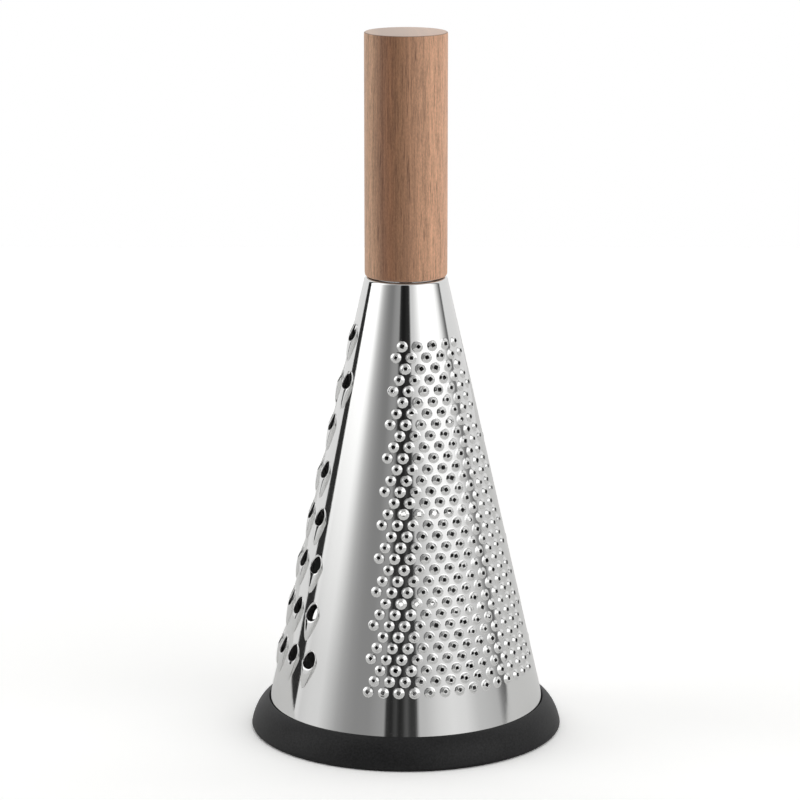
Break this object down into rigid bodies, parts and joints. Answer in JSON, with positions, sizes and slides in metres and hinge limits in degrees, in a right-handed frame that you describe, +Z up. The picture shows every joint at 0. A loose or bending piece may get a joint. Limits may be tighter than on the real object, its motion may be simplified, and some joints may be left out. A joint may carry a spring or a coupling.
{
  "type": "cone grater",
  "caption": "Tall rolled steel cone grater with fine, coarse and slicing zones, a straight round wooden handle on top and a black rubber base ring.",
  "frame": {"origin": "centre of the base ring's underside, on the surface that the grater stands on", "axes": "+Z up along the cone's axis towards the handle; -Y is the side seen in the picture, with the coarse zone at -X and the fine zone centred 30 degrees from -Y towards +X"},
  "size_m": [0.1146, 0.1146, 0.2578],
  "materials": {
    "handle_wood": "oiled brown hardwood, fine straight grain",
    "brass_insert": "machined",
    "zinc_fasteners": "zinc plated",
    "grater_steel": "polished stainless steel",
    "ring_rubber": "matt black"
  },
  "bodies": {
    "grater": {"handle": "handle_wood", "threaded_insert": "brass_insert", "handle_screw": "zinc_fasteners", "lock_washer": "zinc_fasteners", "flat_washer": "zinc_fasteners", "top_plate": "grater_steel", "grater_cone": "grater_steel"},
    "base_ring": {"base_ring": "ring_rubber"}
  },
  "joints": [
    {"name": "ring_pull_off", "type": "slide", "parent": "grater", "child": "base_ring", "axis": [0, 0, -1], "range_m": [0, 0.03], "deforming": ["base_ring"]}
  ]
}
